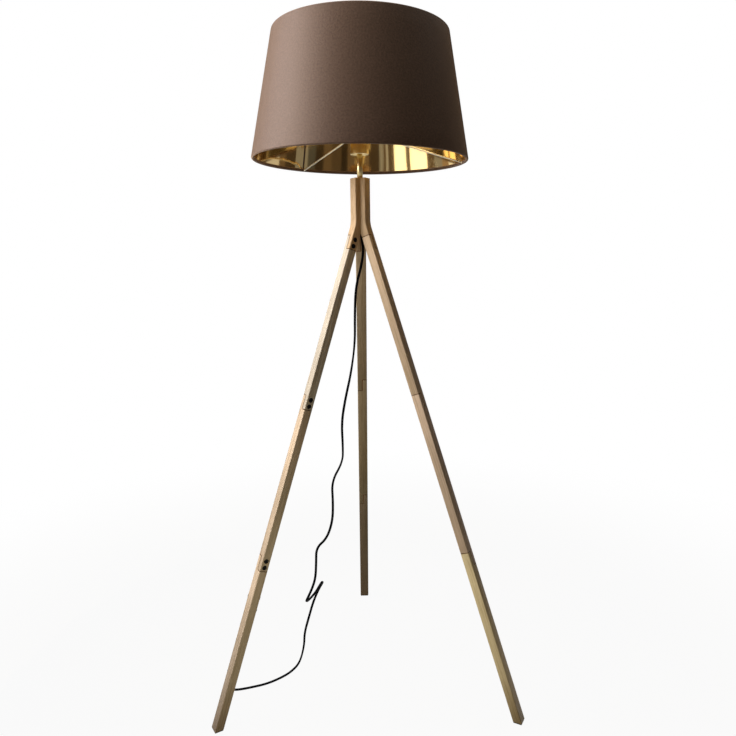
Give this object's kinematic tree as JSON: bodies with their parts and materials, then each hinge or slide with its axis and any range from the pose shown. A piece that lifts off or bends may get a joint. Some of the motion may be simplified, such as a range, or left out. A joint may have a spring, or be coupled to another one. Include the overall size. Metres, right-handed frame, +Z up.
{
  "type": "tripod floor lamp",
  "caption": "Tripod floor lamp with bolted half-lap wooden legs, brass stem and holder, tapered fabric drum shade with metallic lining, and black mains cord with inline switch and plug.",
  "frame": {"origin": "the point on the floor under the lamp's vertical axis, in the plane of the foot pads", "axes": "+Z up along the stem, +Y along the back leg, +X to the right seen from the front"},
  "size_m": [0.6697, 0.608, 1.4219],
  "materials": {
    "leg_wood": "clear matt lacquer",
    "pad_rubber": "matt",
    "bolt_black": "satin black",
    "insert_steel": "zinc plated",
    "brass": "brushed and lacquered",
    "steel": "zinc plated",
    "holder_plastic": "satin",
    "holder_block": "glazed white",
    "shade_cloth": "fine slub weave, laminated",
    "shade_gold": "metallised gold film",
    "wire_cream": "cream powder coat",
    "cord_black": "matt PVC",
    "core": "PVC",
    "switch_black": "fine texture",
    "rocker_black": "semi-gloss",
    "plug_black": "fine texture",
    "plated": "nickel plated",
    "tie_black": "woven band"
  },
  "bodies": {
    "lamp": {"bolts_back": "bolt_black", "bolts_left": "bolt_black", "bolts_right": "bolt_black", "centre_contact": "brass", "contact_block": "holder_block", "cord_drop": "cord_black", "cord_grip": "holder_plastic", "cord_hank": "cord_black", "cord_inner": "cord_black", "cord_link": "cord_black", "cord_tie": "tie_black", "elbow_back": "leg_wood", "elbow_left": "leg_wood", "elbow_right": "leg_wood", "foot_pad_back": "pad_rubber", "foot_pad_left": "pad_rubber", "foot_pad_right": "pad_rubber", "holder_body": "holder_plastic", "holder_cup": "brass", "holder_nut": "steel", "holder_skirt": "holder_plastic", "holder_wires": "core", "hub_nut": "steel", "hub_washer": "steel", "inserts_back": "insert_steel", "inserts_left": "insert_steel", "inserts_right": "insert_steel", "leg_back_lower": "leg_wood", "leg_back_middle": "leg_wood", "leg_back_upper": "leg_wood", "leg_left_lower": "leg_wood", "leg_left_middle": "leg_wood", "leg_left_upper": "leg_wood", "leg_right_lower": "leg_wood", "leg_right_middle": "leg_wood", "leg_right_upper": "leg_wood", "plug_body": "plug_black", "plug_boot": "plug_black", "plug_pins": "plated", "screw_shell": "plated", "shade_fabric": "shade_cloth", "shade_lining": "shade_gold", "shade_nut": "holder_plastic", "shade_spider": "wire_cream", "shade_top_ring": "wire_cream", "stem_sleeve": "brass", "switch_base": "switch_black", "switch_contacts": "plated", "switch_core": "core", "switch_cover": "switch_black", "switch_screws": "plated", "terminal_screws": "plated", "threaded_tube": "steel"},
    "rocker": {"switch_rocker": "rocker_black"}
  },
  "joints": [
    {"name": "switch_press", "type": "hinge", "parent": "lamp", "child": "rocker", "pos_m": [-0.3185, 0.093, 0.0132], "axis": [1, 0, 0], "range_deg": [0, 14]}
  ]
}
